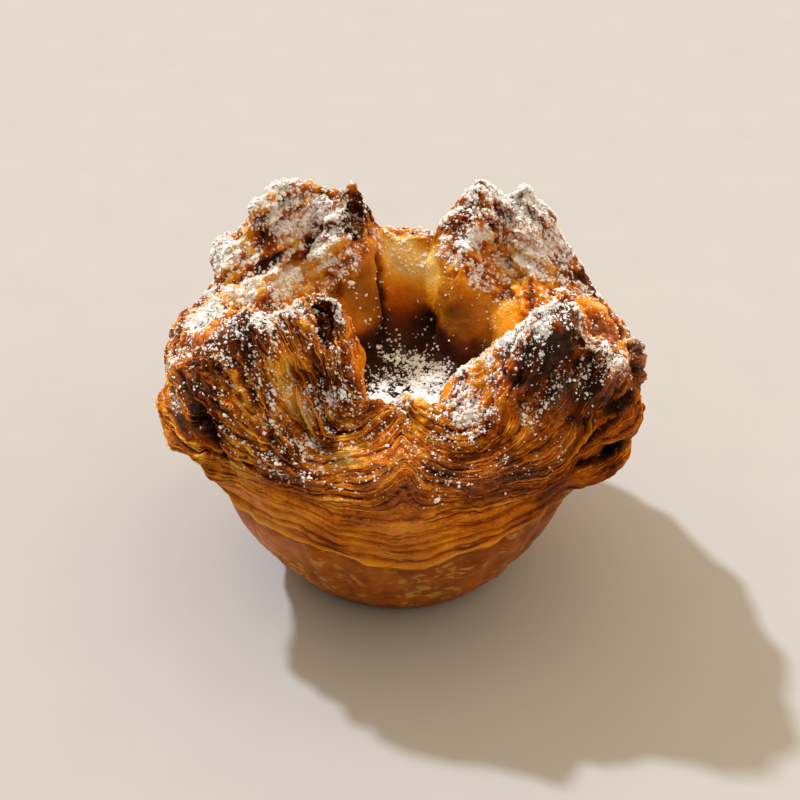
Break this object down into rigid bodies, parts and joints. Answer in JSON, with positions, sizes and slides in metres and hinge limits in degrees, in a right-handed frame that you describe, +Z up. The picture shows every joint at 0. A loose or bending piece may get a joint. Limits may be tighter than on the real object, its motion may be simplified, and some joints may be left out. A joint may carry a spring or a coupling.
{
  "type": "kouign amann",
  "caption": "Tin-baked kouign amann: caramelised laminated pastry with tall folded corners standing round a deep central well, dusted with icing sugar.",
  "frame": {"origin": "middle of the flat underside, where the pastry stands", "axes": "+Z up through the central well, +X across the wider pair of corners to the right, +Y to the back saddle"},
  "size_m": [0.0888, 0.0759, 0.0701],
  "materials": {
    "crust": "caramelised laminated crust, golden to dark brown, slightly glossy with butter and sugar",
    "icing_sugar": "dry white powder, matte"
  },
  "bodies": {
    "root": {"pastry": "crust"}
  },
  "joints": []
}
